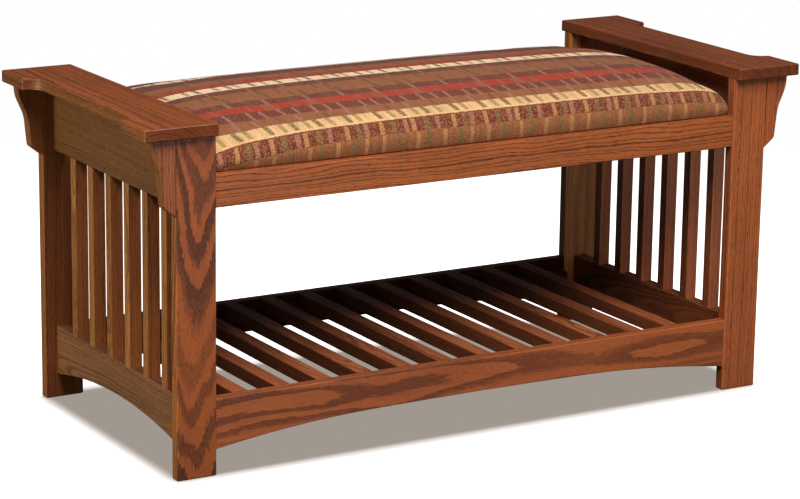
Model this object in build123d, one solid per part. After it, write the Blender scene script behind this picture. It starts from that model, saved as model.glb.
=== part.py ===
from build123d import *
import math
import os

# A mission settle bench in oak: two slatted ends under broad shaped arms, an upholstered
# seat between them and a slatted shelf close to the floor.
# Lengths are millimetres. X runs along the bench, Y from front to back and Z up from the
# floor, with the origin on the floor under the middle of the bench.

# Frame and posts
frame_length = 1105.0  # over the outer edges of the posts
frame_depth = 514.0  # over the faces of the posts
post_width = 68.0
post_thickness = 19.0
post_height = 541.0
post_edge_radius = 2.5
post_foot_chamfer = 2.0

# Long rails at the front and rear
rail_thickness = 19.0
rail_recess = 1.5  # rail face behind the post face
rail_edge_radius = 1.5
seat_rail_drop = 63.0  # underside of the arms to the top of the seat rails
seat_rail_height = 52.0
lower_rail_bottom = 42.0  # the shelf rails and the lower end rails share one height
lower_rail_height = 82.0
shelf_arch_rise = 26.0
shelf_crown_share = 0.41  # half length of the flat crown, of the half span
shelf_crown_drop = 1.5
shelf_toe_run = 12.0  # straight stretch of the arch line beside each post
shelf_toe_rise = 1.9
rail_tenon_length = 20.0
rail_tenon_thickness = 9.0
rail_tenon_shoulder = 8.0

# Ends: rails, slats and their joints
end_rail_thickness = 24.0
end_rail_setback = 21.0  # rail face behind the outer edge of the posts
end_top_rail_height = 116.5
end_arch_rise = 25.0
end_arch_foot = 11.0  # flat stretch beside each post
end_tenon_length = 11.0
end_tenon_thickness = 10.0
end_tenon_shoulder = 10.0
end_slat_count = 6
end_slat_width = 19.0
end_slat_thickness = 22.0
end_slat_edge_radius = 1.0
end_slat_gap = 48.0
slat_tenon_length = 9.0
slat_tenon_width = 12.0
slat_tenon_thickness = 10.0

# Arms
arm_inner_step = 1.5  # arm edge outside the inner edge of the posts
arm_width = 123.5
arm_overhang = 13.0  # past the faces of the posts, at each end
arm_thickness = 19.0
arm_tab_length = 86.0
arm_cove_radius = 26.0
arm_corner_radius = 3.0
arm_rim_chamfer = 1.2
dowel_diameter = 8.0
dowel_in_post = 18.0
dowel_in_arm = 12.0
dowel_spacing = 36.0

# Corbels: the outline goes from the arm down to the post, as shares of reach and drop
corbel_reach = 42.5
corbel_drop = 122.5
corbel_outline_shares = ((1.0, 0.0), (0.97, 0.17), (0.6, 0.455), (0.48, 0.87), (0.0, 1.0))
corbel_bend_radius = 60.0
corbel_toe_radius = 9.0
corbel_rim_chamfer = 1.2

# Shelf
shelf_slat_count = 12
shelf_slat_width = 26.5
shelf_slat_thickness = 23.0
shelf_slat_lead = 52.5  # left post edge to the middle of the first slat
shelf_slat_tail = 95.0  # middle of the last slat to the right post edge
shelf_slat_play = 0.5
shelf_slat_edge_radius = 2.5
cleat_width = 19.0
cleat_height = 19.0
cleat_end_gap = 4.5
brad_length = 30.0
brad_width = 1.2
brad_thickness = 1.0
brad_inset = 9.0  # rail face to the brad

# Seat bearers
bearer_count = 3
bearer_spacing = 320.0
bearer_thickness = 19.0
bearer_height = 38.0
bearer_housing = 6.0

# Seat cushion: cloth over foam on a plywood board
seat_end_gap = 1.5  # cloth to the post edge
seat_setback = 12.0  # foot of the cloth behind the rail face
seat_side_height = 42.0
seat_bulge = 7.0
seat_lean = 3.0
seat_shoulder_run = 30.0
seat_shoulder_rise = 13.0
seat_crown = 24.0
seat_end_draw = 3.0
seat_end_share = 0.5  # height left at the ends of the cushion
seat_crown_end_share = 0.15
seat_fall_power = 5
seat_station_count = 8  # sections from the middle of the seat to each end
cloth_thickness = 1.5
cloth_return = 30.0
board_thickness = 12.0
board_end_inset = 9.0
board_edge_inset = 2.5
board_corner_radius = 12.0

# Screws
screw_head_diameter = 8.0
screw_shank_diameter = 4.0
screw_head_height = 2.5
seat_screw_length = 48.0
seat_screw_spacing = 300.0
cleat_screw_length = 32.0
cleat_screw_step_count = 3  # slat gaps from one screw to the next

# Fits
joint_play = 0.15
cut_overrun = 5.0

# Places that follow from the sizes
post_outer_x = frame_length / 2
post_inner_x = post_outer_x - post_width
post_outer_y = frame_depth / 2
post_inner_y = post_outer_y - post_thickness
post_mid_x = post_outer_x - post_width / 2
post_mid_y = post_outer_y - post_thickness / 2
rail_outer_y = post_outer_y - rail_recess
rail_inner_y = rail_outer_y - rail_thickness
seat_rail_top = post_height - seat_rail_drop
seat_rail_bottom = seat_rail_top - seat_rail_height
shelf_top = lower_rail_bottom + lower_rail_height
end_outer_x = post_outer_x - end_rail_setback
end_inner_x = end_outer_x - end_rail_thickness
end_mid_x = end_outer_x - end_rail_thickness / 2
end_top_rail_bottom = post_height - end_top_rail_height
end_slat_pitch = end_slat_gap + end_slat_width
arm_inner_x = post_inner_x + arm_inner_step
arm_outer_x = arm_inner_x + arm_width
shelf_slat_pitch = (2 * post_inner_x - shelf_slat_lead - shelf_slat_tail) / (shelf_slat_count - 1)
shelf_underside = shelf_top - shelf_slat_thickness
cleat_bottom = shelf_underside - cleat_height
cleat_inner_y = rail_inner_y - cleat_width
bearer_bottom = seat_rail_top - bearer_height
seat_half_length = post_inner_x - seat_end_gap
seat_half_depth = rail_outer_y - seat_setback
board_bottom = seat_rail_top + cloth_thickness
board_top = board_bottom + board_thickness
board_half_length = seat_half_length - board_end_inset
board_half_depth = seat_half_depth - board_edge_inset


def span_box(x, y, z):
    """A box between the low and high limits given for each axis."""
    size = (x[1] - x[0], y[1] - y[0], z[1] - z[0])
    middle = ((x[0] + x[1]) / 2, (y[0] + y[1]) / 2, (z[0] + z[1]) / 2)
    return Pos(*middle) * Box(*size)


def centred(middle, width, play=0.0):
    """The limits of a width about its middle, with play at each side."""
    return (middle - width / 2 - play, middle + width / 2 + play)


def long_edges(body, axis, least):
    """The edges that run more than the least length along one axis."""
    return body.edges().filter_by(lambda edge: getattr(edge.bounding_box().size, axis) > least)


def cylinder_up(radius, x, y, z):
    return Pos(x, y, (z[0] + z[1]) / 2) * Cylinder(radius, z[1] - z[0])


# Joints

def rail_tenon(low, high, play=0.0):
    """Tenon on the end of a long rail, in the edge of the post at +X +Y."""
    along = (post_inner_x - cut_overrun, post_inner_x + rail_tenon_length + play)
    across = centred(post_mid_y, rail_tenon_thickness, play)
    up = (low + rail_tenon_shoulder - play, high - rail_tenon_shoulder + play)
    return span_box(along, across, up)


def end_tenon(low, high, play=0.0):
    """Tenon on the end of an end rail, in the inner face of the post at +X +Y."""
    along = (post_inner_y - cut_overrun, post_inner_y + end_tenon_length + play)
    across = centred(end_mid_x, end_tenon_thickness, play)
    up = (low + end_tenon_shoulder - play, high - end_tenon_shoulder + play)
    return span_box(across, along, up)


def slat_tenons(y, play=0.0):
    """Both tenons of the end slat that stands at y, as one bar between their tips."""
    across = centred(end_mid_x, slat_tenon_thickness, play)
    along = centred(y, slat_tenon_width, play)
    up = (shelf_top - slat_tenon_length - play, end_top_rail_bottom + slat_tenon_length + play)
    return span_box(across, along, up)


def dowel_places():
    """Middles of the two dowels on top of the post at +X +Y."""
    return [(x, post_mid_y) for x in centred(post_mid_x, dowel_spacing)]


def dowel(x, y, play=0.0):
    low = post_height - dowel_in_post - play
    high = post_height + dowel_in_arm + play
    return cylinder_up(dowel_diameter / 2 + play, x, y, (low, high))


def bearer_places():
    first = -bearer_spacing * (bearer_count - 1) / 2
    return [first + bearer_spacing * number for number in range(bearer_count)]


def bearer_body(x, play=0.0):
    """A bearer on edge, housed in both seat rails."""
    reach = rail_inner_y + bearer_housing + play
    top = seat_rail_top + (cut_overrun if play else 0)
    return span_box(centred(x, bearer_thickness, play), (-reach, reach), (bearer_bottom - play, top))


def end_slat_places():
    """Equal gaps between the slats, the set in the middle of the end."""
    first = -end_slat_pitch * (end_slat_count - 1) / 2
    return [first + end_slat_pitch * number for number in range(end_slat_count)]


def shelf_slat_places():
    first = -post_inner_x + shelf_slat_lead
    return [first + shelf_slat_pitch * number for number in range(shelf_slat_count)]


# Fasteners

def wood_screw(length, play=0.0):
    """A countersunk screw, head at the origin and shank along -Z."""
    head = screw_head_diameter / 2 + play
    shank = screw_shank_diameter / 2 + play
    end = -length - play
    corners = [(0, 0), (head, 0), (shank, -screw_head_height), (shank, end), (0, end)]
    half = make_face(Polyline(*corners, close=True))
    return revolve(Plane.XZ * half, Axis.Z)


def seat_screws(play=0.0):
    """Screws up through the bearers into the seat board."""
    upright = Rot(180, 0, 0) * wood_screw(seat_screw_length, play)
    rows = centred(0, seat_screw_spacing)
    return [Pos(x, y, bearer_bottom) * upright for x in bearer_places() for y in rows]


def cleat_screws(play=0.0):
    """Screws through the rear shelf cleat into its rail, in the gaps between slats."""
    level = Rot(90, 0, 0) * wood_screw(cleat_screw_length, play)
    middles = [x + shelf_slat_pitch / 2 for x in shelf_slat_places()[:-1:cleat_screw_step_count]]
    height = cleat_bottom + cleat_height / 2
    return [Pos(x, cleat_inner_y, height) * level for x in middles]


def shelf_brads():
    """A brad up through the rear cleat into each shelf slat."""
    up = (cleat_bottom, cleat_bottom + brad_length)
    across = centred(rail_inner_y - brad_inset, brad_thickness)
    return [span_box(centred(x, brad_width), across, up) for x in shelf_slat_places()]


def cut_all(body, cutters):
    for cutter in cutters:
        body -= cutter
    return body


# Wooden pieces, each made at +X +Y and mirrored to its other places

def corner_post():
    across = (post_inner_x, post_outer_x)
    body = span_box(across, (post_inner_y, post_outer_y), (0, post_height))
    body = fillet(body.edges().filter_by(Axis.Z), post_edge_radius)
    body = chamfer(body.faces().sort_by(Axis.Z)[0].edges(), post_foot_chamfer)
    body -= rail_tenon(seat_rail_bottom, seat_rail_top, joint_play)
    body -= rail_tenon(lower_rail_bottom, shelf_top, joint_play)
    body -= end_tenon(end_top_rail_bottom, post_height, joint_play)
    body -= end_tenon(lower_rail_bottom, shelf_top, joint_play)
    return cut_all(body, [dowel(x, y, joint_play) for x, y in dowel_places()])


def corbel():
    """A shaped bracket on the outer edge of the post, under the arm."""
    corners = [
        (post_outer_x + corbel_reach * out, post_height - corbel_drop * down)
        for out, down in corbel_outline_shares
    ]
    radii = [corbel_bend_radius, corbel_bend_radius, corbel_toe_radius]
    curve = FilletPolyline(*corners, radius=radii)
    back = Polyline(corners[-1], (post_outer_x, post_height), corners[0])
    outline = make_face([*curve.edges(), *back.edges()])
    body = Pos(0, post_outer_y, 0) * extrude(Plane.XZ * outline, amount=post_thickness)
    shaped = body.edges().filter_by(
        lambda edge: abs(edge.center().Y - post_mid_y) > post_thickness / 4
        and edge.center().X > post_outer_x + corbel_rim_chamfer
        and edge.center().Z < post_height - corbel_rim_chamfer
    )
    return chamfer(shaped, corbel_rim_chamfer)


def rail_bar(outline, low, high):
    """A rail between the posts at the rear, from an outline that runs past them, with tenons."""
    body = Pos(0, rail_outer_y, 0) * extrude(Plane.XZ * outline, amount=rail_thickness)
    body = fillet(long_edges(body, "X", rail_thickness), rail_edge_radius)
    body &= span_box((-post_inner_x, post_inner_x), (rail_inner_y, rail_outer_y), (0, high))
    tenon = rail_tenon(low, high)
    return body + tenon + mirror(tenon, about=Plane.YZ)


def seat_rail():
    middle = (seat_rail_bottom + seat_rail_top) / 2
    outline = Pos(0, middle, 0) * Rectangle(frame_length, seat_rail_height)
    body = rail_bar(outline, seat_rail_bottom, seat_rail_top)
    return cut_all(body, [bearer_body(x, joint_play) for x in bearer_places()])


def shelf_rail_outline():
    """Under the rail a flat crown, and from it an arc down to a straight toe at each post."""
    crown_top = lower_rail_bottom + shelf_arch_rise
    crown_end = (post_inner_x * shelf_crown_share, crown_top - shelf_crown_drop)
    toe_start = (post_inner_x - shelf_toe_run, lower_rail_bottom + shelf_toe_rise)
    crown = ThreePointArc((-crown_end[0], crown_end[1]), (0, crown_top), crown_end)
    flank = TangentArc(crown_end, toe_start, tangent=crown % 1)
    toe = Line(flank @ 1, flank @ 1 + 2 * shelf_toe_run * (flank % 1))
    end = toe @ 1
    top = Polyline((end.X, end.Y), (end.X, shelf_top), (-end.X, shelf_top), (-end.X, end.Y))
    pieces = [*crown.edges(), *top.edges()]
    for side in (flank, toe):
        pieces += [*side.edges(), *mirror(side, about=Plane.YZ).edges()]
    return make_face(pieces)


def shelf_rail():
    body = rail_bar(shelf_rail_outline(), lower_rail_bottom, shelf_top)
    return cut_all(body, cleat_screws(joint_play))


def end_arch():
    """The space under a lower end rail: one arc between short flat feet."""
    half = post_inner_y - end_arch_foot
    foot = lower_rail_bottom
    arc = ThreePointArc((-half, foot), (0, foot + end_arch_rise), (half, foot))
    below = foot - cut_overrun
    base = Polyline((half, foot), (half, below), (-half, below), (-half, foot))
    outline = make_face([*arc.edges(), *base.edges()])
    return extrude(Plane.YZ * outline, amount=frame_length)


def end_rail(low, high, cutter=None):
    """A rail across the end at +X, with a tenon in each post."""
    body = span_box((end_inner_x, end_outer_x), (-post_inner_y, post_inner_y), (low, high))
    if cutter:
        body -= cutter
    body = fillet(long_edges(body, "Y", end_arch_foot / 2), rail_edge_radius)
    tenon = end_tenon(low, high)
    body += tenon + mirror(tenon, about=Plane.XZ)
    return cut_all(body, [slat_tenons(y, joint_play) for y in end_slat_places()])


def end_slat(y):
    across = centred(end_mid_x, end_slat_thickness)
    body = span_box(across, centred(y, end_slat_width), (shelf_top, end_top_rail_bottom))
    body = fillet(body.edges().filter_by(Axis.Z), end_slat_edge_radius)
    return body + slat_tenons(y)


def arm():
    """A flat arm board: square tabs at both ends, coves running into a set-in edge."""
    half = post_outer_y + arm_overhang
    tab = half - arm_tab_length
    waist = tab - arm_cove_radius
    waist_x = arm_outer_x - arm_cove_radius
    inner = Polyline((arm_outer_x, tab), (arm_outer_x, half), (arm_inner_x, half),
                     (arm_inner_x, -half), (arm_outer_x, -half), (arm_outer_x, -tab))
    rear_cove = CenterArc((arm_outer_x, waist), arm_cove_radius, 90, 90)
    front_cove = CenterArc((arm_outer_x, -waist), arm_cove_radius, 180, 90)
    waist_edge = Line((waist_x, waist), (waist_x, -waist))
    outline = make_face([*inner.edges(), *rear_cove.edges(), *waist_edge.edges(),
                         *front_cove.edges()])
    corners = outline.vertices().filter_by(lambda corner: abs(corner.Y) > waist + cut_overrun)
    outline = fillet(corners, arm_corner_radius)
    body = Pos(0, 0, post_height) * extrude(outline, amount=arm_thickness)
    rims = body.faces().filter_by(Axis.Z).edges()
    body = chamfer(rims, arm_rim_chamfer)
    for x, y in dowel_places():
        body -= dowel(x, y, joint_play)
        body -= dowel(x, -y, joint_play)
    return body


def shelf_slat(x):
    half = rail_inner_y - shelf_slat_play
    body = span_box(centred(x, shelf_slat_width), (-half, half), (shelf_underside, shelf_top))
    return fillet(body.edges().filter_by(Axis.Y), shelf_slat_edge_radius)


def shelf_cleat():
    """The strip on the rear shelf rail that carries the slats."""
    half = post_inner_x - cleat_end_gap
    body = span_box((-half, half), (cleat_inner_y, rail_inner_y), (cleat_bottom, shelf_underside))
    return cut_all(body, cleat_screws(joint_play))


# Seat cushion

def seat_section(station, inset):
    """The closed outline across the seat at a share of its half length."""
    fall = (1 - abs(station) ** seat_fall_power) ** 0.5
    base = seat_rail_top + inset
    foot = seat_half_depth - seat_end_draw * (1 - fall) - inset
    rise = seat_side_height * (seat_end_share + (1 - seat_end_share) * fall) - 2 * inset
    crown = seat_crown * (seat_crown_end_share + (1 - seat_crown_end_share) * fall)
    shoulder_rise = seat_shoulder_rise * (seat_end_share + (1 - seat_end_share) * fall)
    edge = (foot - seat_lean, base + rise)
    shoulder = (foot - seat_shoulder_run, base + rise + shoulder_rise)
    side = ThreePointArc((foot, base), (foot + seat_bulge, base + rise / 2), edge)
    turn = TangentArc(edge, shoulder, tangent=side % 1)
    top = ThreePointArc(shoulder, (0, shoulder[1] + crown), (-shoulder[0], shoulder[1]))
    sole = Line((-foot, base), (foot, base))
    left_turn = mirror(turn, about=Plane.YZ)
    left_side = mirror(side, about=Plane.YZ)
    pieces = [*side.edges(), *turn.edges(), *top.edges(), *left_turn.edges(),
              *left_side.edges(), *sole.edges()]
    return Pos(station * (seat_half_length - inset), 0, 0) * (Plane.YZ * make_face(pieces))


def seat_form(inset):
    """The crowned form of the seat, drawn in towards its ends."""
    steps = range(-seat_station_count, seat_station_count + 1)
    stations = [math.sin(math.pi / 2 * step / seat_station_count) for step in steps]
    return loft([seat_section(station, inset) for station in stations])


def board_blank():
    outline = RectangleRounded(2 * board_half_length, 2 * board_half_depth, board_corner_radius)
    return Pos(0, 0, board_bottom) * extrude(outline, amount=board_thickness)


def seat_board():
    return cut_all(board_blank(), seat_screws(joint_play))


def seat_foam():
    reach = (-post_outer_x, post_outer_x)
    below = span_box(reach, (-frame_depth, frame_depth), (0, board_top))
    return seat_form(cloth_thickness) - below


def seat_cover():
    """Cloth over the foam and round the board, turned in underneath."""
    opening = span_box(
        (-board_half_length + cloth_return, board_half_length - cloth_return),
        (-board_half_depth + cloth_return, board_half_depth - cloth_return),
        (seat_rail_top - cut_overrun, board_bottom + cloth_thickness),
    )
    return seat_form(0) - seat_foam() - board_blank() - opening


# Nodes

os.makedirs("parts", exist_ok=True)
nodes = {}


def both_ends(name, body):
    nodes[f"{name}_right"] = body
    nodes[f"{name}_left"] = mirror(body, about=Plane.YZ)


def front_and_rear(name, body):
    nodes[f"{name}_rear"] = body
    nodes[f"{name}_front"] = mirror(body, about=Plane.XZ)


for name, body in (("post", corner_post()), ("corbel", corbel())):
    for row, piece in (("rear", body), ("front", mirror(body, about=Plane.XZ))):
        both_ends(f"{name}_{row}", piece)

front_and_rear("seat_rail", seat_rail())
front_and_rear("shelf_rail", shelf_rail())
both_ends("end_top_rail", end_rail(end_top_rail_bottom, post_height))
both_ends("end_bottom_rail", end_rail(lower_rail_bottom, shelf_top, end_arch()))
for number, place in enumerate(end_slat_places(), start=1):
    slat = end_slat(place)
    nodes[f"end_slat_right_{number}"] = slat
    nodes[f"end_slat_left_{number}"] = mirror(slat, about=Plane.YZ)
both_ends("arm", arm())

pins = [dowel(x, y) for x, y in dowel_places()]
pins += [mirror(pin, about=Plane.XZ) for pin in pins]
pins += [mirror(pin, about=Plane.YZ) for pin in pins]
nodes["arm_dowels"] = Compound(children=pins)

brads = shelf_brads()
brads += [mirror(brad, about=Plane.XZ) for brad in brads]
nodes["shelf_brads"] = Compound(children=brads)
for number, place in enumerate(shelf_slat_places(), start=1):
    nodes[f"shelf_slat_{number}"] = cut_all(shelf_slat(place), brads)
front_and_rear("shelf_cleat", cut_all(shelf_cleat(), brads))
screws = cleat_screws()
screws += [mirror(screw, about=Plane.XZ) for screw in screws]
nodes["shelf_cleat_screws"] = Compound(children=screws)

for number, place in enumerate(bearer_places(), start=1):
    nodes[f"seat_bearer_{number}"] = cut_all(bearer_body(place), seat_screws(joint_play))
nodes["seat_screws"] = Compound(children=seat_screws())
nodes["seat_board"] = seat_board()
nodes["seat_foam"] = seat_foam()
nodes["seat_cover"] = seat_cover()

for name, body in nodes.items():
    export_step(body, f"parts/{name}.step")
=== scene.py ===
import math
import random

import bmesh
import bpy
from mathutils import Euler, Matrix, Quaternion, Vector


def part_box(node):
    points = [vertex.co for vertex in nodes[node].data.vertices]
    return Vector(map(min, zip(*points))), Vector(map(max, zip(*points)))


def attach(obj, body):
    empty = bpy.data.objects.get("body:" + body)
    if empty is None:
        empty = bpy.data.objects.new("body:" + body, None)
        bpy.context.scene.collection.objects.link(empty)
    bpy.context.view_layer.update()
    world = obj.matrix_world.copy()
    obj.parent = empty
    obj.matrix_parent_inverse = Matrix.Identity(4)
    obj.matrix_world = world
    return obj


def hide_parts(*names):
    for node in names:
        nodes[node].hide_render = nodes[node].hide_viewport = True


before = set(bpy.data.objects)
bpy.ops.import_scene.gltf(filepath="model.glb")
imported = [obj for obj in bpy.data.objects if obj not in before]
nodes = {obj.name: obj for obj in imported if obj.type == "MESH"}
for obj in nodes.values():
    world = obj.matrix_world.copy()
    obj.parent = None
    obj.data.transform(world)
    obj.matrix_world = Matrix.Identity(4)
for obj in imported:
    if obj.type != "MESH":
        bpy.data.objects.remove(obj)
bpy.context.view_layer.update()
scene = bpy.context.scene
mm = 0.001


def linear(hexColour):
    # sRGB hex to the linear colour that shaders take
    parts = [int(hexColour[i:i + 2], 16) / 255 for i in (1, 3, 5)]
    flat = [c / 12.92 if c <= 0.04045 else ((c + 0.055) / 1.055) ** 2.4 for c in parts]
    return (*flat, 1.0)


def add(tree, kind, settings=None, links=None):
    # one node with its settings, its values and its links; gives back its first live output
    made = tree.nodes.new(kind)
    settings = dict(settings or {})
    stops = settings.pop("stops", None)
    blending = settings.pop("interpolation", None)
    for name, value in settings.items():
        setattr(made, name, value)
    if stops:
        ramp = made.color_ramp
        ramp.interpolation = blending or "LINEAR"
        while len(ramp.elements) < len(stops):
            ramp.elements.new(1.0)
        for element, (place, colour) in zip(ramp.elements, stops):
            element.position = place
            element.color = colour
    for name, value in (links or {}).items():
        if isinstance(name, int):
            socket = made.inputs[name]
        else:
            socket = next(s for s in made.inputs if s.enabled and s.name == name)
        if isinstance(value, bpy.types.NodeSocket):
            tree.links.new(value, socket)
        else:
            socket.default_value = value
    return next((s for s in made.outputs if s.enabled), None)


def newMaterial(name):
    material = bpy.data.materials.new(name)
    material.use_nodes = True
    material.node_tree.nodes.clear()
    return material, material.node_tree


def dress(nodeName, material):
    # a CAD node keeps its mesh and takes the material in its own slots
    piece = nodes[nodeName]
    if not piece.material_slots:
        piece.data.materials.append(material)
    for slot in piece.material_slots:
        slot.material = material


# the camera stands where the photograph was taken from
cameraPlace = {
    "location": (-2.4688, -4.1515, 1.4678),     # metres; the three angles are in degrees
    "azimuth": -30.66,
    "elevation": 14.18,
    "roll": 0.81,
    "lens": 133.1,             # mm, as the sensor's width
    "sensor": 36.0,
}


def makeCamera():
    data = bpy.data.cameras.new("camera")
    data.lens = cameraPlace["lens"]
    data.sensor_width = cameraPlace["sensor"]
    data.dof.use_dof = False
    camera = bpy.data.objects.new("camera", data)
    scene.collection.objects.link(camera)
    camera.location = cameraPlace["location"]
    tilt = math.radians(90 - cameraPlace["elevation"])
    turn = Euler((tilt, 0, math.radians(cameraPlace["azimuth"]))).to_quaternion()
    camera.rotation_mode = "QUATERNION"
    camera.rotation_quaternion = turn @ Quaternion((0, 0, 1), math.radians(cameraPlace["roll"]))
    scene.camera = camera


makeCamera()
print("camera placed")

# stained red oak: sawn boards, planed and sanded, wiped with a brown stain and finished in satin
# lacquer. The open pores of the spring growth take the stain darkest, so each ring shows as a
# dark ragged line, fine and straight on a rift-sawn face and in long flames on a flat-sawn one.
grainTurns = {"x": (0, 0, 0), "y": (0, 0, 90), "z": (0, -90, 0)}     # degrees
axes = {"x": (1, 0, 0), "y": (0, 1, 0), "z": (0, 0, 1)}

oakDefaults = {
    "grain": "x",
    "pith": (0, 0, -60),       # mm from the board's middle, in the world's axes
    "tilt": (0, 1, 1),         # degrees that the grain runs out of the board
    "rings": 4.0,              # mm from ring to ring
    "spring": 0.34,            # share of a ring that is open, dark spring growth
    "thinning": 0.12,          # share of a ring in which the pores give out
    "light": "#95502b",
    "dark": "#632f16",
    "contrast": 1.0,           # how dark the strongest rings are
    "faintest": 0.45,
    "wave": 3.0,               # mm that the rings wander
    "swings": 5.0,             # how often they do, in a metre along the board and across it
    "crossSwings": 18.0,
    "jag": 0.55,               # how far the pores reach across a ring's edge
    # pores in a metre, along the grain and across: streaks about 18 by 2.5 mm, coarser than life
    # so that they show, and finer ones between them
    "pores": (55, 400, 400),
    "finePores": (90, 1000, 1000),
    "blotch": 0.16,            # how unevenly the stain dries
    "endGrain": 0.76,          # end grain drinks the stain and dries darker
    "edge": (1, 1, 1),         # what the faces to left and right are multiplied by: paler edge grain, and painted light where that side is lit
    "roughness": 0.40,         # of the wood between the pores
    "poreRoughness": 0.12,     # how much rougher the pores are
    "poreDepth": 0.2,          # mm
    "lacquer": {"Coat Weight": 0.08, "Coat Roughness": 0.3},
}


def boardSpace(tree, board, cut):
    # coordinates that run along the board's own grain, from its pith
    low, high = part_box(board)
    place = (low + high) / 2 + Vector(cut["pith"]) * mm
    lie = Euler([math.radians(a) for a in grainTurns[cut["grain"]]]).to_matrix()
    runOut = Euler([math.radians(a) for a in cut["tilt"]]).to_matrix()
    turn = (runOut @ lie).to_euler()
    coords = tree.nodes.new("ShaderNodeTexCoord").outputs["Object"]
    return add(tree, "ShaderNodeMapping", {"vector_type": "TEXTURE"},
               {"Vector": coords, "Location": tuple(place), "Rotation": tuple(turn)})


def ringPlace(tree, along, slow, cut):
    # how many rings a point lies from the pith, with the slow wander of the rings
    wander = add(tree, "ShaderNodeTexNoise", {},
                 {"Vector": slow, "Scale": 1.0, "Detail": 2.0, "Roughness": 0.5})
    centred = add(tree, "ShaderNodeVectorMath", {"operation": "SUBTRACT"},
                  {0: wander.node.outputs["Color"], 1: (0.5, 0.5, 0.5)})
    swing = cut["wave"] * 5 * mm       # the noise seldom goes further than a fifth
    waved = add(tree, "ShaderNodeVectorMath", {"operation": "MULTIPLY_ADD"},
                {0: centred, 1: (0, swing, swing), 2: along})
    across = add(tree, "ShaderNodeVectorMath", {"operation": "MULTIPLY"},
                 {0: waved, 1: (0, 1, 1)})
    radius = add(tree, "ShaderNodeVectorMath", {"operation": "LENGTH"}, {0: across})
    return add(tree, "ShaderNodeMath", {"operation": "DIVIDE"},
               {0: radius, 1: cut["rings"] * mm})


def poreDarkness(tree, along, rings, seed, cut):
    # how full of stained pores the wood is at a point
    poreSpace = add(tree, "ShaderNodeMapping", {"vector_type": "POINT"},
                    {"Vector": along, "Location": (seed, 0, seed), "Scale": cut["pores"]})
    pores = add(tree, "ShaderNodeTexNoise", {},
                {"Vector": poreSpace, "Scale": 1.0, "Detail": 1.5, "Roughness": 0.6})
    fineSpace = add(tree, "ShaderNodeMapping", {"vector_type": "POINT"},
                    {"Vector": along, "Location": (0, seed, 0), "Scale": cut["finePores"]})
    finePores = add(tree, "ShaderNodeTexNoise", {},
                    {"Vector": fineSpace, "Scale": 1.0, "Detail": 1.0, "Roughness": 0.5})
    ragged = add(tree, "ShaderNodeMath", {"operation": "MULTIPLY_ADD"},
                 {0: pores, 1: cut["jag"], 2: rings})
    # years differ: some rings are wide or strong, and some hardly show
    years = add(tree, "ShaderNodeTexNoise", {"noise_dimensions": "1D"},
                {"W": rings, "Scale": 0.45, "Detail": 1.0})
    spread = add(tree, "ShaderNodeMath", {"operation": "MULTIPLY_ADD"},
                 {0: years, 1: 2.0, 2: ragged})
    phase = add(tree, "ShaderNodeMath", {"operation": "FRACT"}, {0: spread})
    spring = cut["spring"]
    line = add(tree, "ShaderNodeValToRGB",
               {"stops": [(0.0, (1, 1, 1, 1)), (spring, (0.85, 0.85, 0.85, 1)),
                          (spring + cut["thinning"], (0.12, 0.12, 0.12, 1)),
                          (0.94, (0, 0, 0, 1)), (1.0, (1, 1, 1, 1))]},
               {"Fac": phase})
    strength = add(tree, "ShaderNodeMapRange", {},
                   {"Value": years, "From Min": 0.35, "From Max": 0.65,
                    "To Min": cut["faintest"], "To Max": cut["contrast"]})
    lineAmount = add(tree, "ShaderNodeMath", {"operation": "MULTIPLY", "use_clamp": True},
                     {0: line, 1: strength})
    fine = add(tree, "ShaderNodeMapRange", {},
               {"Value": finePores, "From Min": 0.45, "From Max": 0.7, "To Min": -0.08,
                "To Max": 0.38})
    return add(tree, "ShaderNodeMath", {"operation": "ADD", "use_clamp": True},
               {0: lineAmount, 1: fine})


def squareTo(tree, axis):
    # 1 on the faces that look along an axis either way, 0 on those that lie along it
    facing = tree.nodes.new("ShaderNodeNewGeometry").outputs["Normal"]
    both = add(tree, "ShaderNodeVectorMath", {"operation": "DOT_PRODUCT"},
               {0: facing, 1: axes[axis]}).node.outputs["Value"]
    return add(tree, "ShaderNodeMath", {"operation": "ABSOLUTE"}, {0: both})


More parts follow.
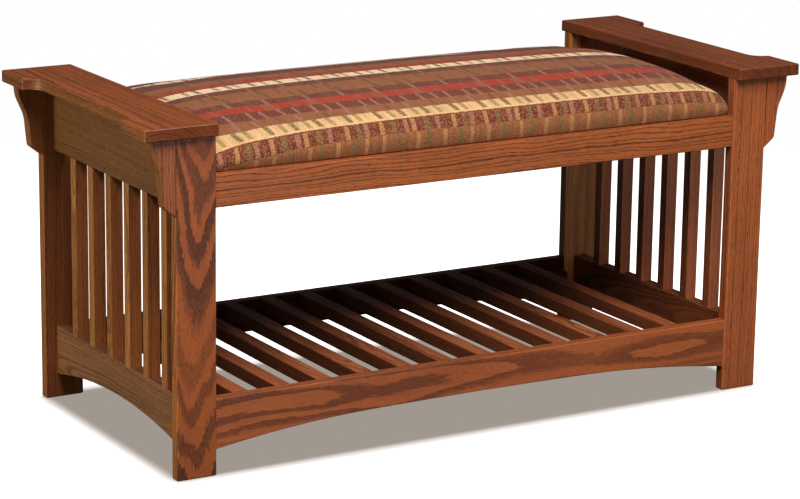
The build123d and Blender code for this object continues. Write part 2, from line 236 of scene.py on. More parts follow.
def stainedOak(name, board, look):
    cut = {**oakDefaults, **look}
    material, tree = newMaterial(name)
    seed = random.Random(board).uniform(0, 40)
    along = boardSpace(tree, board, cut)
    slow = add(tree, "ShaderNodeMapping", {"vector_type": "POINT"},
               {"Vector": along, "Location": (seed, seed * 0.7, 0),
                "Scale": (cut["swings"], cut["crossSwings"], cut["crossSwings"])})
    rings = ringPlace(tree, along, slow, cut)
    darkness = poreDarkness(tree, along, rings, seed, cut)
    wood = add(tree, "ShaderNodeMix", {"data_type": "RGBA"},
               {"Factor": darkness, "A": linear(cut["light"]), "B": linear(cut["dark"])})
    blotches = add(tree, "ShaderNodeTexNoise", {},
                   {"Vector": slow, "Scale": 0.8, "Detail": 3.0, "Roughness": 0.6})
    shade = add(tree, "ShaderNodeMapRange", {},
                {"Value": blotches, "From Min": 0.3, "From Max": 0.7,
                 "To Min": 1 - cut["blotch"], "To Max": 1 + cut["blotch"]})
    thirst = add(tree, "ShaderNodeMapRange", {},
                 {"Value": squareTo(tree, cut["grain"]), "From Min": 0.6, "From Max": 0.95,
                  "To Min": 1.0, "To Max": cut["endGrain"]})
    shade = add(tree, "ShaderNodeMath", {"operation": "MULTIPLY"}, {0: shade, 1: thirst})
    toned = add(tree, "ShaderNodeVectorMath", {"operation": "SCALE"}, {0: wood, "Scale": shade})
    # the faces to left and right are paler: partly a flat-sawn board's paler summer growth on its
    # edges, partly painted light on the lit side
    edgeGrainAndPaintedLight = add(tree, "ShaderNodeMix", {"data_type": "RGBA"},
               {"Factor": squareTo(tree, "x"), "A": (1, 1, 1, 1), "B": (*cut["edge"], 1)})
    toned = add(tree, "ShaderNodeVectorMath", {"operation": "MULTIPLY"}, {0: toned, 1: edgeGrainAndPaintedLight})
    dents = add(tree, "ShaderNodeBump", {"invert": True},
                {"Strength": 0.3, "Distance": cut["poreDepth"] * mm, "Height": darkness})
    matt = add(tree, "ShaderNodeMapRange", {},
               {"Value": darkness, "From Min": 0.0, "From Max": 1.0,
                "To Min": cut["roughness"], "To Max": cut["roughness"] + cut["poreRoughness"]})
    shader = add(tree, "ShaderNodeBsdfPrincipled", {},
                 {"Base Color": toned, "Roughness": matt, "IOR": 1.45, "Normal": dents,
                  **cut["lacquer"]})
    add(tree, "ShaderNodeOutputMaterial", {}, {"Surface": shader})
    return material


boards = {
    # front legs: the left is flat-sawn with tall flames, the right is rift-sawn
    # its narrow faces are made paler and more golden: paler edge grain, and painted light on the
    # lit left side
    "post_front_left": {"grain": "z", "pith": (2, 74, 0), "tilt": (5.2, 0.8, 0), "rings": 7.5,
                        "light": "#91491f", "dark": "#441d09", "wave": 2.5, "spring": 0.42,
                        "edge": (1.35, 1.5, 1.8)},
    "post_front_right": {"grain": "z", "pith": (-85, 30, 0), "tilt": (0, 0.5, 1), "rings": 4.4,
                         "contrast": 0.8, "light": "#a4582d", "dark": "#652d12", "wave": 1.5},
    "post_rear_left": {"grain": "z", "pith": (-70, 30, 0), "tilt": (0, 0.5, 1), "rings": 3.2},
    "post_rear_right": {"grain": "z", "pith": (4, -50, 0), "tilt": (0, 0.5, -3), "rings": 6,
                        "light": "#a0642f", "dark": "#74431f"},
    "corbel_front_left": {"grain": "z", "pith": (-60, 40, 0), "rings": 4.4,
                          "light": "#8f4c25", "dark": "#5c2a11"},
    "corbel_front_right": {"grain": "z", "pith": (60, 40, 0), "rings": 4.4,
                           "light": "#a5572c", "dark": "#6a3116"},
    "corbel_rear_left": {"grain": "z", "pith": (-60, -40, 0), "rings": 3},
    "corbel_rear_right": {"grain": "z", "pith": (60, -40, 0), "rings": 3},
    "arm_left": {"grain": "y", "pith": (-34, 0, -60), "tilt": (0.3, 0, 0.2), "rings": 3.6,
                 "wave": 1.2, "contrast": 0.9, "light": "#884520", "dark": "#4b210e"},
    "arm_right": {"grain": "y", "pith": (-80, 0, -50), "tilt": (0.8, 0, 0.8), "rings": 4.2,
                  "light": "#844424", "dark": "#4c2310"},
    "end_top_rail_left": {"grain": "y", "pith": (-30, 0, -75), "tilt": (1.2, 0, 0.8),
                          "rings": 3.4, "light": "#7d4527", "dark": "#462210",
                          "contrast": 0.9},
    "end_top_rail_right": {"grain": "y", "pith": (-60, 0, -20), "tilt": (0.5, 0, 2),
                           "rings": 4},
    "end_bottom_rail_left": {"grain": "y", "pith": (-45, 0, -30), "tilt": (2.0, 0, 2.5),
                             "rings": 4.2, "light": "#874e33", "dark": "#593021"},
    "end_bottom_rail_right": {"grain": "y", "pith": (-55, 0, 0), "tilt": (0, 0, 3),
                              "rings": 5},
    "seat_rail_front": {"grain": "x", "pith": (0, 60, 90), "tilt": (0, 0.5, 0.6), "rings": 5.2,
                        "light": "#9d5327", "dark": "#451907", "spring": 0.2, "jag": 0.4,
                        "wave": 4},
    "seat_rail_rear": {"grain": "x", "pith": (0, -60, 90), "tilt": (0, 0.3, 0.6),
                       "rings": 3.2},
    "shelf_rail_front": {"grain": "x", "pith": (0, 52, 12), "tilt": (0, 0.7, 0.7),
                         "rings": 6.0, "light": "#9d532a", "dark": "#5f2d16", "wave": 5,
                         "jag": 0.4, "swings": 2.6},
    "shelf_rail_rear": {"grain": "x", "pith": (0, -52, 10), "tilt": (0, 1.2, 2.4),
                        "rings": 5},
    "shelf_cleat_front": {"grain": "x", "pith": (0, 50, 60)},
    "shelf_cleat_rear": {"grain": "x", "pith": (0, 50, 60)},
}
seatBearer = {"grain": "y", "pith": (50, 0, 60)}


def slatLook(name, pick):
    # slats are cut from many boards, so each has its own pith and rings
    if name.startswith("end_slat"):
        look = {"grain": "z", "pith": (pick.uniform(-70, -40), pick.uniform(-20, 20), 0),
                "tilt": (0, pick.uniform(-1, 1), pick.uniform(-2, 2)),
                "rings": pick.uniform(2.6, 3.6)}
        if name.startswith("end_slat_left"):
            look.update({"light": "#9a5c30", "dark": "#693519"})
        return look
    return {"grain": "y", "pith": (pick.uniform(-40, 40), 0, pick.uniform(-70, -40)),
            "tilt": (pick.uniform(-1, 1), 0, pick.uniform(-1, 1)),
            "rings": pick.uniform(2.6, 4), "roughness": 0.55}


def dressWood():
    pick = random.Random(7)
    for name in sorted(nodes):
        if name in boards:
            look = boards[name]
        elif name.startswith(("end_slat", "shelf_slat")):
            look = slatLook(name, pick)
        elif name.startswith("seat_bearer"):
            look = seatBearer
        else:
            continue
        dress(name, stainedOak("stained_red_oak_" + name, name, look))


dressWood()
print("oak dressed")

# birch plywood: pale rotary-cut face, edge in thin even plies, unfinished
plywood = {
    "light": "#dcc199",
    "dark": "#c4a273",
    "plies": 110.0,            # gives plies of 1.4 mm
    "plyShade": 0.25,
    "figure": (4, 40, 40),     # how often the face's figure changes in a metre
}


def birchPlywood():
    material, tree = newMaterial("birch_plywood")
    coords = tree.nodes.new("ShaderNodeTexCoord").outputs["Object"]
    plies = add(tree, "ShaderNodeTexWave", {"bands_direction": "Z"},
                {"Vector": coords, "Scale": plywood["plies"], "Distortion": 0.0})
    figureSpace = add(tree, "ShaderNodeMapping", {},
                      {"Vector": coords, "Scale": plywood["figure"]})
    figure = add(tree, "ShaderNodeTexNoise", {},
                 {"Vector": figureSpace, "Scale": 1.0, "Detail": 3.0})
    face = add(tree, "ShaderNodeMix", {"data_type": "RGBA"},
               {"Factor": figure, "A": linear(plywood["light"]), "B": linear(plywood["dark"])})
    layered = add(tree, "ShaderNodeMix", {"data_type": "RGBA", "blend_type": "MULTIPLY"},
                  {"Factor": plywood["plyShade"], "A": face, "B": plies.node.outputs["Color"]})
    shader = add(tree, "ShaderNodeBsdfPrincipled", {},
                 {"Base Color": layered, "Roughness": 0.7, "IOR": 1.5})
    add(tree, "ShaderNodeOutputMaterial", {}, {"Surface": shader})
    return material


# zinc-plated steel of screws and brads: bright, slightly grey, worn matt
zinc = {"colour": "#b4b2ad", "roughness": (0.28, 0.5), "grit": 900.0}     # grains in a metre


def zincSteel():
    material, tree = newMaterial("zinc_plated_steel")
    coords = tree.nodes.new("ShaderNodeTexCoord").outputs["Object"]
    grit = add(tree, "ShaderNodeTexNoise", {},
               {"Vector": coords, "Scale": zinc["grit"], "Detail": 2.0})
    polished, worn = zinc["roughness"]
    matt = add(tree, "ShaderNodeMapRange", {},
               {"Value": grit, "To Min": polished, "To Max": worn})
    shader = add(tree, "ShaderNodeBsdfPrincipled", {},
                 {"Base Color": linear(zinc["colour"]), "Metallic": 1.0, "Roughness": matt})
    add(tree, "ShaderNodeOutputMaterial", {}, {"Surface": shader})
    return material


# beech dowels: pale pinkish wood with short dark flecks, turned and unfinished
beech = {"light": "#d9b48a", "dark": "#b98a5f", "flecks": (900, 900, 120)}     # in a metre


def beechDowel():
    material, tree = newMaterial("beech_dowel")
    coords = tree.nodes.new("ShaderNodeTexCoord").outputs["Object"]
    fleckSpace = add(tree, "ShaderNodeMapping", {},
                     {"Vector": coords, "Scale": beech["flecks"]})
    flecks = add(tree, "ShaderNodeTexNoise", {},
                 {"Vector": fleckSpace, "Scale": 1.0, "Detail": 1.0})
    wood = add(tree, "ShaderNodeMix", {"data_type": "RGBA"},
               {"Factor": flecks, "A": linear(beech["light"]), "B": linear(beech["dark"])})
    shader = add(tree, "ShaderNodeBsdfPrincipled", {},
                 {"Base Color": wood, "Roughness": 0.6, "IOR": 1.5})
    add(tree, "ShaderNodeOutputMaterial", {}, {"Surface": shader})
    return material


dress("seat_board", birchPlywood())
dress("arm_dowels", beechDowel())
steel = zincSteel()
for name in ("seat_screws", "shelf_cleat_screws", "shelf_brads"):
    dress(name, steel)
print("board, dowels and screws dressed")

# the stuffed seat: one closed case drawn over foam, flat below, crowned above, full at the sides.
# Sizes are in mm.
seat = {
    "cell": 9.0,               # between threads of the mesh
    "halfLength": 482.0,
    "reach": (482.0, 250.0, 26.0),       # half of what the threads are counted over
    "foot": 242.5,             # half the depth at the seat rails' tops
    "base": 478.5,             # the foot's height
    "side": 42.5,              # from the foot up to the edge of the shoulder
    "bulge": 6.0,              # how far the side bows out
    "lean": 3.0,               # how far the edge stands in from the foot
    "shoulderRun": 30.0,       # from the edge in to the crown
    "shoulderRise": (14.5, 8.5),     # front and rear: the stuffing has settled to the rear
    "shoulderCloth": 1.25,     # length of cloth over a shoulder for each mm that it runs in
    "crown": 19.0,             # before it swells
    "drawIn": 1.0,             # how far the foot comes in at the ends
    "endShare": 0.5,           # share of the height, and of the crown, left at the ends
    "endCrown": 0.42,
    # how late the crown falls towards the left end and the right one: at the front, which falls
    # early at the left end, and at the rear
    "power": (3.0, 9.0),
    "rearPower": (7.5, 10.0),
    # the cloth is laid out flat over the top and the sides
    "topCloth": 251.5,
    "sideCloth": 42.0,
    "underside": 1000.0,       # the cloth below is laid out clear of the top's
    # towards the left end the stripes are dragged back over the top and down the front
    "dragFrom": -130.0,
    "drag": 36.0,
    "dragTurns": -224.0,       # the place in the cloth that isn't dragged
    "dragSpread": 90.0,        # over which the drag grows to the full
    "frontDrag": -0.78,        # share of it at most on the front
}

# the cloth under pressure, for Blender's simulation
swelling = {
    "wrap": 13.5,              # mm of the side that lie tight round the edge of the seat board
    "cap": 6.0,                # mm that the crown may rise
    "steps": 20,
    "settings": {"quality": 6, "mass": 0.4, "tension_stiffness": 25,
                 "compression_stiffness": 25, "shear_stiffness": 10, "bending_stiffness": 2.0,
                 "use_pressure": True, "uniform_pressure_force": 4.0},
}


def arcThrough(a, b, c, share):
    # the point at a share of the way along the arc from a through b to c
    ax, ay = a
    bx, by = b
    cx, cy = c
    d = 2 * (ax * (by - cy) + bx * (cy - ay) + cx * (ay - by))
    ux = ((ax * ax + ay * ay) * (by - cy) + (bx * bx + by * by) * (cy - ay)
          + (cx * cx + cy * cy) * (ay - by)) / d
    uy = ((ax * ax + ay * ay) * (cx - bx) + (bx * bx + by * by) * (ax - cx)
          + (cx * cx + cy * cy) * (bx - ax)) / d
    first = math.atan2(ay - uy, ax - ux)
    last = math.atan2(cy - uy, cx - ux)
    turn = (last - first + math.pi) % (2 * math.pi) - math.pi
    r = math.hypot(ax - ux, ay - uy)
    angle = first + turn * share
    return ux + r * math.cos(angle), uy + r * math.sin(angle)


def seatSection(x):
    # the sizes of the section at x: they fall towards both ends
    share = min(1.0, abs(x) / seat["halfLength"])
    fall, rearFall = [math.sqrt(max(0.0, 1 - share ** seat[key][x > 0]))
                      for key in ("power", "rearPower")]
    keep, rearKeep = [seat["endShare"] + (1 - seat["endShare"]) * f for f in (fall, rearFall)]
    foot = seat["foot"] - seat["drawIn"] * (1 - fall)
    edge = (foot - seat["lean"], seat["base"] + seat["side"] * keep)
    front, rear = seat["shoulderRise"]
    rise = (front * keep, rear * rearKeep + seat["side"] * (rearKeep - keep))
    crown = seat["crown"] * (seat["endCrown"] + (1 - seat["endCrown"]) * rearFall)
    return foot, edge, rise, crown


def seatTop(x, share):
    # from the front edge (-1) over the top to the rear edge (1)
    foot, edge, rise, crown = seatSection(x)
    inset = foot - seat["shoulderRun"]
    front = (-inset, edge[1] + rise[0])
    rear = (inset, edge[1] + rise[1])
    flat = inset / (inset + seat["shoulderCloth"] * seat["shoulderRun"])
    if abs(share) <= flat:
        crest = (0, (front[1] + rear[1]) / 2 + crown)
        return arcThrough(front, crest, rear, 0.5 + 0.5 * share / flat)
    # quarter turn from the shoulder down to the edge
    turn = (abs(share) - flat) / (1 - flat) * math.pi / 2
    shoulder = rear if share > 0 else front
    y = inset + (edge[0] - inset) * math.sin(turn)
    z = edge[1] + (shoulder[1] - edge[1]) * math.cos(turn)
    return math.copysign(y, share), z


def clothPlace(corner, normal):
    # where a corner of the box that the case starts as lies on the flat cloth, in metres
    x, y, z = corner
    drop = (1 - z) / 2 * seat["sideCloth"] * mm
    halfLength = seat["halfLength"] * mm
    topCloth = seat["topCloth"] * mm
    u, v = x * halfLength, y * topCloth
    if abs(normal.y) > 0.9:
        v = math.copysign(topCloth + drop, normal.y)
    elif abs(normal.x) > 0.9:
        u = math.copysign(halfLength + drop, normal.x)
    elif normal.z < -0.9:
        v = v + seat["underside"] * mm
    drag = max(0.0, (seat["dragFrom"] - u / mm) / (seat["dragFrom"] + seat["halfLength"]))
    fan = (v / mm - seat["dragTurns"]) / seat["dragSpread"]
    fan = max(seat["frontDrag"], min(1.0, fan))
    return u, v - seat["drag"] * mm * drag ** 2 * fan


def casePlace(corner):
    # where that corner lies on the stuffed seat, in metres
    sx, sy, sz = corner
    x = sx * seat["halfLength"]
    foot, edge, rise, crown = seatSection(x)
    height = (sz + 1) / 2
    y, z = seatTop(x, sy)
    bow = math.sin(height * math.pi) * seat["bulge"]
    width = foot + (edge[0] - foot) * height + bow
    z = seat["base"] + (z - seat["base"]) * height
    return x * mm, y * width / edge[0] * mm, z * mm


def makeSeatCase():
    bm = bmesh.new()
    bmesh.ops.create_cube(bm, size=2.0)
    for axis, reach in enumerate(seat["reach"]):
        cuts = max(1, round(2 * reach / seat["cell"]) - 1)
        rowEdges = [e for e in bm.edges
                    if abs((e.verts[1].co - e.verts[0].co).normalized()[axis]) > 0.9]
        bmesh.ops.subdivide_edges(bm, edges=rowEdges, cuts=cuts, use_grid_fill=True)
    sheet = bm.loops.layers.uv.new("cloth")
    for face in bm.faces:
        for loop in face.loops:
            loop[sheet].uv = clothPlace(loop.vert.co, face.normal)
    for vert in bm.verts:
        vert.co = casePlace(vert.co)
    bmesh.ops.recalc_face_normals(bm, faces=bm.faces)
    mesh = bpy.data.meshes.new("seat_case")
    bm.to_mesh(mesh)
    bm.free()
    case = bpy.data.objects.new("seat_case", mesh)
    scene.collection.objects.link(case)
    for polygon in mesh.polygons:
        polygon.use_smooth = True
    return case


def swell(case):
    # held round its foot, the cloth crowns and fills out between the corners
    mesh = case.data
    before = [vert.co.copy() for vert in mesh.vertices]
    foot = (seat["base"] + swelling["wrap"]) * mm
    held = case.vertex_groups.new(name="held")
    held.add([vert.index for vert in mesh.vertices if vert.co.z < foot], 1.0, "REPLACE")
    blown = case.modifiers.new("blown", "CLOTH")
    for name, value in swelling["settings"].items():
        setattr(blown.settings, name, value)
    blown.settings.vertex_group_mass = held.name
    blown.settings.effector_weights.gravity = 0
    blown.point_cache.frame_start = 1
    blown.point_cache.frame_end = swelling["steps"]
    for step in range(1, swelling["steps"] + 1):
        scene.frame_set(step)
    shown = case.evaluated_get(bpy.context.evaluated_depsgraph_get()).to_mesh()
    after = [vert.co.copy() for vert in shown.vertices]
    case.to_mesh_clear()
    case.modifiers.remove(blown)
    case.vertex_groups.clear()
    scene.frame_set(1)
    # the whole form is scaled back to the cap, so that no point stands out
    most = max((new - old).length for old, new in zip(before, after))
    share = min(1.0, swelling["cap"] * mm / most)
    for vert, old, new in zip(mesh.vertices, before, after):
        vert.co = old + (new - old) * share
    print("cloth swells by", round(most / mm, 1), "mm and keeps", round(share, 2), "of it")


seatCase = makeSeatCase()
swell(seatCase)
smooth = seatCase.modifiers.new("smooth", "SUBSURF")
smooth.levels = 1
smooth.render_levels = 1

# the seat cloth: a flat-woven striped blanket weave in wool-like yarn, dull and slightly fuzzy.
# Stripes run along the bench; short weft ticks cross them and repeat every 193 mm.
cloth = {
    # one cell is one crossing of yarns, in mm, coarser than life so that it shows
    "yarn": (1.8, 1.6),
    "stray": 1.2,              # mm that a yarn may stray past the edge of a stripe or a tick
    "wander": 9.0,             # mm that the ticks wander along the bench
    "wanderings": 9.0,         # how often in a metre
    "streaks": (170, 16, 1),   # how often in a metre the warp changes shade, along and across
    "streakShade": (0.84, 1.16),
    "yarnShade": (0.82, 1.16),
    "tickCover": (0.35, 0.95),       # where a tick's yarn dips under, and where it floats over
    "nub": 0.4,                # mm
    "fleckShare": 0.34,        # of the crossings
    "fleckColour": "#a9764a",
    "repeat": 193.0,           # mm along the bench
    "span": (-300.0, 300.0),
    "uneven": 0.8,             # share of the room between ticks that one may stand off its place
    # shadedCream is the cream yarn painted darker: painted shade on the seat's front shoulder
    "yarns": {"cream": "#d9bb94", "shadedCream": "#c3996a", "brown": "#7f4b2c", "maroon": "#602a1f",
              "red": "#912f1e", "sand": "#9e7044", "olive": "#64522b", "khaki": "#8d7345",
              "rose": "#8a5d49", "rust": "#844a2e", "bark": "#5e3a20"},
    # stripes: the front edge in mm from the middle line, the yarn of the ground, and how much
    # the pale flecks show
    "stripes": [
        (-300, "brown", 0.25), (-264, "maroon", 0.38), (-235, "shadedCream", 0.0), (-204, "brown", 0.1),
        (-178, "maroon", 0.18), (-149, "red", 0.08), (-121, "maroon", 0.16),
        (-97, "brown", 0.1), (-44, "maroon", 0.18), (-18, "cream", 0.0), (14, "red", 0.1),
        (44, "brown", 0.1), (76, "maroon", 0.1), (140, "cream", 0.0), (172, "brown", 0.1),
        (180, "maroon", 0.1), (204, "red", 0.1), (232, "brown", 0.1), (262, "maroon", 0.1),
    ],
    # rows of ticks: from and to in mm from the middle line, how many there are in a repeat, and
    # the widths in mm and the yarns that they take in turn
    "ticks": [
        (-292, -264, 7, (7, 9), ("sand", "olive")),
        (-262, -238, 9, (8,), ("sand", "olive", "rose")),
        (-229, -204, 8, (9, 8), ("olive", "khaki")),
        (-201, -180, 5, (8, 5), ("rose", "bark")),
        (-178, -149, 7, (6,), ("rose",)),
        (-149, -121, 5, (5, 18), ("rust",)),
        (-121, -97, 6, (7, 12), ("rose", "bark")),
        (-94, -68, 4, (5,), ("bark",)),
        (-68, -44, 4, (5,), ("bark",)),
        (-44, -18, 6, (4, 11), ("rose", "bark")),
        (-12, 14, 8, (8, 6), ("olive", "khaki")),
        (14, 34, 6, (7,), ("bark",)),
        (44, 72, 6, (6,), ("bark", "olive")),
        (76, 98, 4, (6,), ("rust", "bark")),
        (142, 172, 8, (7, 6), ("olive", "khaki")),
    ],
}


def bandStops(bands):
    # a ramp across the whole cloth, with each band's colour from its front edge on
    low, high = cloth["span"]
    return [((place - low) / (high - low), colour) for place, colour in bands]


def tickStops(pick, count, widths, yarns):
    # a ramp along one repeat: a tick's colour with full alpha, and no alpha between ticks. Hand
    # weaving is uneven, so a tick stands a little off its place.
    bare = (0, 0, 0, 0)
    repeat = cloth["repeat"]
    pitch = repeat / count
    stops = [(0.0, bare)]
    for index in range(count):
        width = widths[index % len(widths)]
        slack = (pitch - width) / 2 * cloth["uneven"]
        middle = (index + 0.5) * pitch + pick.uniform(-slack, slack)
        yarn = yarns[index % len(yarns)]
        stops.append(((middle - width / 2) / repeat, linear(cloth["yarns"][yarn])))
        stops.append(((middle + width / 2) / repeat, bare))
    return stops


def yarnPlace(tree, sheet, cell):
    # the place along and across the cloth, frayed by the yarns that stray
    corner = add(tree, "ShaderNodeSeparateXYZ", {}, {"Vector": cell}).node.outputs
    rowChance = add(tree, "ShaderNodeTexWhiteNoise", {"noise_dimensions": "1D"},
                    {"W": corner["Y"]})
    columnChance = add(tree, "ShaderNodeTexWhiteNoise", {"noise_dimensions": "1D"},
                       {"W": corner["X"]})
    exact = add(tree, "ShaderNodeSeparateXYZ", {}, {"Vector": sheet}).node.outputs
    wave = add(tree, "ShaderNodeTexNoise", {},
               {"Vector": sheet, "Scale": cloth["wanderings"], "Detail": 1.0})
    stray = cloth["stray"] * mm
    u = add(tree, "ShaderNodeMath", {"operation": "MULTIPLY_ADD"},
            {0: rowChance, 1: stray, 2: exact["X"]})
    u = add(tree, "ShaderNodeMath", {"operation": "MULTIPLY_ADD"},
            {0: wave, 1: cloth["wander"] * mm, 2: u})
    v = add(tree, "ShaderNodeMath", {"operation": "MULTIPLY_ADD"},
            {0: columnChance, 1: stray, 2: exact["Y"]})
    return u, v


def stripes(tree, sheet, share):
    # the ground colours, with long streaks across them where the warp's yarns change shade
    ground = add(tree, "ShaderNodeValToRGB",
                 {"interpolation": "CONSTANT",
                  "stops": bandStops([(edge, linear(cloth["yarns"][yarn]))
                                      for edge, yarn, flecks in cloth["stripes"]])},
                 {"Fac": share})
    streakSpace = add(tree, "ShaderNodeMapping", {},
                      {"Vector": sheet, "Scale": cloth["streaks"]})
    streaks = add(tree, "ShaderNodeTexNoise", {},
                  {"Vector": streakSpace, "Scale": 1.0, "Detail": 2.0, "Roughness": 0.6})
    darkest, lightest = cloth["streakShade"]
    streaky = add(tree, "ShaderNodeMapRange", {},
                  {"Value": streaks, "From Min": 0.3, "From Max": 0.7, "To Min": darkest,
                   "To Max": lightest})
    return add(tree, "ShaderNodeVectorMath", {"operation": "SCALE"},
               {0: ground, "Scale": streaky})


def crossTicks(tree, colour, u, v, chance):
    # the short weft ticks over the ground colours
    pick = random.Random(11)
    repeats = add(tree, "ShaderNodeMath", {"operation": "DIVIDE"},
                  {0: u, 1: cloth["repeat"] * mm})
    phase = add(tree, "ShaderNodeMath", {"operation": "FRACT"}, {0: repeats})
    least, full = cloth["tickCover"]
    cover = add(tree, "ShaderNodeMapRange", {},
                {"Value": chance, "From Min": 0.0, "From Max": 0.4, "To Min": least,
                 "To Max": full})
    for low, high, *row in cloth["ticks"]:
        tick = add(tree, "ShaderNodeValToRGB",
                   {"interpolation": "CONSTANT", "stops": tickStops(pick, *row)},
                   {"Fac": phase})
        above = add(tree, "ShaderNodeMath", {"operation": "GREATER_THAN"}, {0: v, 1: low * mm})
        below = add(tree, "ShaderNodeMath", {"operation": "LESS_THAN"}, {0: v, 1: high * mm})
        inside = add(tree, "ShaderNodeMath", {"operation": "MULTIPLY"}, {0: above, 1: below})
        here = add(tree, "ShaderNodeMath", {"operation": "MULTIPLY"},
                   {0: inside, 1: tick.node.outputs["Alpha"]})
        here = add(tree, "ShaderNodeMath", {"operation": "MULTIPLY"}, {0: here, 1: cover})
        colour = add(tree, "ShaderNodeMix", {"data_type": "RGBA"},
                     {"Factor": here, "A": colour, "B": tick})
    return colour


def paleFlecks(tree, colour, share, chance):
    # the light weft shows through the dark bands, most in the maroon one
    fleck = add(tree, "ShaderNodeMath", {"operation": "GREATER_THAN"},
                {0: chance, 1: 1 - cloth["fleckShare"]})
    amounts = [(edge, (flecks, flecks, flecks, 1)) for edge, yarn, flecks in cloth["stripes"]]
    bands = add(tree, "ShaderNodeValToRGB",
                {"interpolation": "CONSTANT", "stops": bandStops(amounts)}, {"Fac": share})
    fleck = add(tree, "ShaderNodeMath", {"operation": "MULTIPLY"}, {0: fleck, 1: bands})
    return add(tree, "ShaderNodeMix", {"data_type": "RGBA"},
               {"Factor": fleck, "A": colour, "B": linear(cloth["fleckColour"])})


def stripedCloth():
    material, tree = newMaterial("striped_wool_cloth")
    coords = tree.nodes.new("ShaderNodeUVMap")
    coords.uv_map = "cloth"
    sheet = coords.outputs["UV"]
    cell = add(tree, "ShaderNodeVectorMath", {"operation": "SNAP"},
               {0: sheet, 1: (*[size * mm for size in cloth["yarn"]], 1)})
    # each crossing of yarns draws its own numbers
    drawn = add(tree, "ShaderNodeTexWhiteNoise", {"noise_dimensions": "3D"},
                {"Vector": cell}).node.outputs
    chances = add(tree, "ShaderNodeSeparateColor", {}, {"Color": drawn["Color"]}).node.outputs
    u, v = yarnPlace(tree, sheet, cell)
    low, high = cloth["span"]
    share = add(tree, "ShaderNodeMapRange", {},
                {"Value": v, "From Min": low * mm, "From Max": high * mm})
    colour = stripes(tree, sheet, share)
    colour = crossTicks(tree, colour, u, v, chances["Green"])
    colour = paleFlecks(tree, colour, share, chances["Blue"])
    darkest, lightest = cloth["yarnShade"]
    speck = add(tree, "ShaderNodeMapRange", {},
                {"Value": drawn["Value"], "To Min": darkest, "To Max": lightest})
    colour = add(tree, "ShaderNodeVectorMath", {"operation": "SCALE"},
                 {0: colour, "Scale": speck})
    nub = add(tree, "ShaderNodeBump", {},
              {"Strength": 0.5, "Distance": cloth["nub"] * mm, "Height": drawn["Value"]})
    shader = add(tree, "ShaderNodeBsdfPrincipled", {},
                 {"Base Color": colour, "Roughness": 0.92, "IOR": 1.45,
                  "Specular IOR Level": 0.2, "Sheen Weight": 0.08, "Sheen Roughness": 0.5,
                  "Normal": nub})
    add(tree, "ShaderNodeOutputMaterial", {}, {"Surface": shader})
    return material


seatCase.data.materials.append(stripedCloth())
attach(seatCase, "root")
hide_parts("seat_cover", "seat_foam")
print("seat made")

# a white studio: a paper floor that fades into the white of the room, with a painted shadow under
# the bench, a soft overhead light, weak fill from the front and the left, and the floor's own
# light
studio = {
    "floorSize": 12.0,         # metres, as all places here
    "aim": (0.0, 0.0, 0.35),   # where the lights look that have no aim of their own
    "roomLight": 0.055,
    "paperSeen": (1.6, 1.6, 1.6, 1),            # the painted shadow's tone, which the paper gives off for the camera
    "paperBounce": (0.08, 0.077, 0.073, 1),     # and for the bench that it lights
    "paintedShadowTone": "#a0978f",   # the paper where no light falls
    # the painted shadow under the bench, from the middle: full inside the first, gone at the
    # second
    "paintedShadow": {"X": (0.537, 0.574), "Y": (0.228, 0.288)},
    "fade": (1.1, 2.2),        # and where the paper turns into the white of the room
    # what each light falls on, by the first letters of the names; the others fall on all but
    # the floor
    "lit": {
        "floorLight": ("floor",),
        "frontFill": ("post_front", "corbel", "seat_rail_front", "shelf_rail_front",
                      "seat_case"),
        "slatFill": ("end_slat_left",),
        "nearFill": ("end_slat_right", "post_rear_right"),
        "leftFill": ("arm_left", "corbel_front_left", "corbel_rear_left",
                     "end_bottom_rail_left", "end_slat_left", "end_top_rail_left",
                     "post_front_left", "post_rear_left"),
    },
    # what lets a light through
    "seeThrough": {
        "floorLight": ("arm", "corbel"),
        "slatFill": ("end_slat", "post", "corbel", "arm"),
        "nearFill": ("end_slat", "post"),
    },
    "lights": {
        "overhead": {"place": (-0.5, -1.9, 3.0), "size": 2.0, "power": 175.0},
        "frontFill": {"place": (0.5, -4.2, 0.5), "size": 1.6, "power": 36.0},
        "slatFill": {"place": (-1.6, -2.0, 1.9), "size": 0.6, "power": 26.0,
                     "tint": "#ffe9e4"},
        "nearFill": {"place": (0.52, -0.75, 0.28), "size": 0.3, "power": 1.8,
                     "aim": (0.52, 0.25, 0.28)},
        "leftFill": {"place": (-3.3, 0.2, 1.0), "size": 1.6, "power": 88.0,
                     "tint": "#e4ffd4"},
        "floorLight": {"place": (0.0, 0.0, 10.0), "size": 3.6, "power": 920.0},
    },
}


def areaLight(name, place, size, power, tint="#ffffff", aim=None):
    data = bpy.data.lights.new(name, "AREA")
    data.shape = "SQUARE"
    data.size = size
    data.energy = power
    data.color = linear(tint)[:3]
    light = bpy.data.objects.new(name, data)
    scene.collection.objects.link(light)
    light.visible_camera = False
    light.location = place
    toward = Vector(aim or studio["aim"]) - Vector(place)
    light.rotation_mode = "QUATERNION"
    light.rotation_quaternion = toward.to_track_quat("-Z", "Y")
    return light


def paintShadowPool(tree, coords):
    # a painted shadow: one even pool as large as the bench's footprint, soft at its rim
    apart = add(tree, "ShaderNodeVectorMath", {"operation": "ABSOLUTE"}, {0: coords})
    sides = add(tree, "ShaderNodeSeparateXYZ", {}, {"Vector": apart}).node.outputs
    paintedShadow = 1.0
    for side, (inner, outer) in studio["paintedShadow"].items():
        under = add(tree, "ShaderNodeMapRange", {"interpolation_type": "SMOOTHSTEP"},
                    {"Value": sides[side], "From Min": inner, "From Max": outer, "To Min": 1.0,
                     "To Max": 0.0})
        paintedShadow = add(tree, "ShaderNodeMath", {"operation": "MULTIPLY"}, {0: under, 1: paintedShadow})
    return paintedShadow
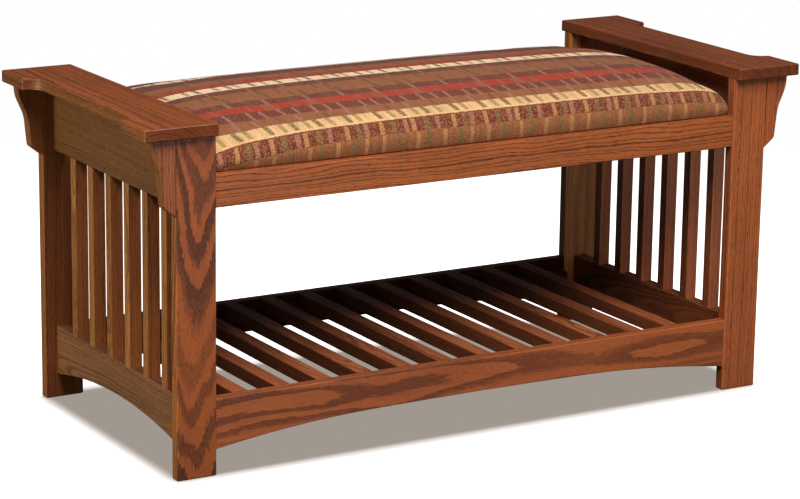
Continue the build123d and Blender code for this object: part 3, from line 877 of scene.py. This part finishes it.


# white background paper: dull and even but for a painted shadow under the bench; the camera sees
# it paler than it lights the bench
def whitePaper():
    material, tree = newMaterial("white_paper")
    seen = tree.nodes.new("ShaderNodeLightPath").outputs["Is Camera Ray"]
    coords = tree.nodes.new("ShaderNodeTexCoord").outputs["Object"]
    # the lit paper for the camera, blacked out where the painted shadow lies
    lit = add(tree, "ShaderNodeMix", {"data_type": "RGBA"},
              {"Factor": paintShadowPool(tree, coords), "A": studio["paperSeen"],
               "B": (0, 0, 0, 1)})
    tone = add(tree, "ShaderNodeMix", {"data_type": "RGBA"},
               {"Factor": seen, "A": studio["paperBounce"], "B": lit})
    paper = add(tree, "ShaderNodeBsdfDiffuse", {}, {"Color": tone})
    # the paper gives off the painted shadow's tone for the camera, so inside the pool only that
    # shows
    paintedShadowGlow = add(tree, "ShaderNodeEmission", {},
               {"Color": linear(studio["paintedShadowTone"]), "Strength": seen})
    paper = add(tree, "ShaderNodeAddShader", {}, {0: paper, 1: paintedShadowGlow})
    away = add(tree, "ShaderNodeVectorMath", {"operation": "LENGTH"}, {0: coords}).node
    white = add(tree, "ShaderNodeEmission", {}, {"Color": (1, 1, 1, 1), "Strength": 1.0})
    near, gone = studio["fade"]
    far = add(tree, "ShaderNodeMapRange", {"interpolation_type": "SMOOTHSTEP"},
              {"Value": away.outputs["Value"], "From Min": near, "From Max": gone})
    seenFar = add(tree, "ShaderNodeMath", {"operation": "MULTIPLY"}, {0: far, 1: seen})
    whole = add(tree, "ShaderNodeMixShader", {}, {0: seenFar, 1: paper, 2: white})
    add(tree, "ShaderNodeOutputMaterial", {}, {"Surface": whole})
    return material


def makeFloor():
    bpy.ops.mesh.primitive_plane_add(size=studio["floorSize"], location=(0, 0, 0))
    floor = bpy.context.object
    floor.name = "floor"
    floor.data.materials.append(whitePaper())


def linked(name, starts, state):
    # a collection of the pieces whose names start so, taken in or left out by a light
    group = bpy.data.collections.new(name)
    chosen = [o for o in scene.objects if o.type == "MESH" and o.name.startswith(starts)]
    for index, piece in enumerate(sorted(chosen, key=lambda o: o.name)):
        group.objects.link(piece)
        group.collection_objects[index].light_linking.link_state = state
    return group


def makeRoom():
    world = bpy.data.worlds.new("room")
    scene.world = world
    world.use_nodes = True
    tree = world.node_tree
    tree.nodes.clear()
    seen = tree.nodes.new("ShaderNodeLightPath").outputs["Is Camera Ray"]
    level = add(tree, "ShaderNodeMapRange", {},
                {"Value": seen, "To Min": studio["roomLight"], "To Max": 1.0})
    room = add(tree, "ShaderNodeBackground", {}, {"Color": (1, 1, 1, 1), "Strength": level})
    add(tree, "ShaderNodeOutputWorld", {}, {"Surface": room})
    scene.view_settings.view_transform = "Standard"
    scene.view_settings.look = "None"


def makeStudio():
    makeFloor()
    for name, light in studio["lights"].items():
        made = areaLight(name, **light)
        if name in studio["lit"]:
            lit = linked(name + "_lit", studio["lit"][name], "INCLUDE")
        else:
            lit = linked(name + "_lit", ("floor",), "EXCLUDE")
        made.light_linking.receiver_collection = lit
        if name in studio["seeThrough"]:
            clear = linked(name + "_clear", studio["seeThrough"][name], "EXCLUDE")
            made.light_linking.blocker_collection = clear
    makeRoom()


makeStudio()
print("studio lit")
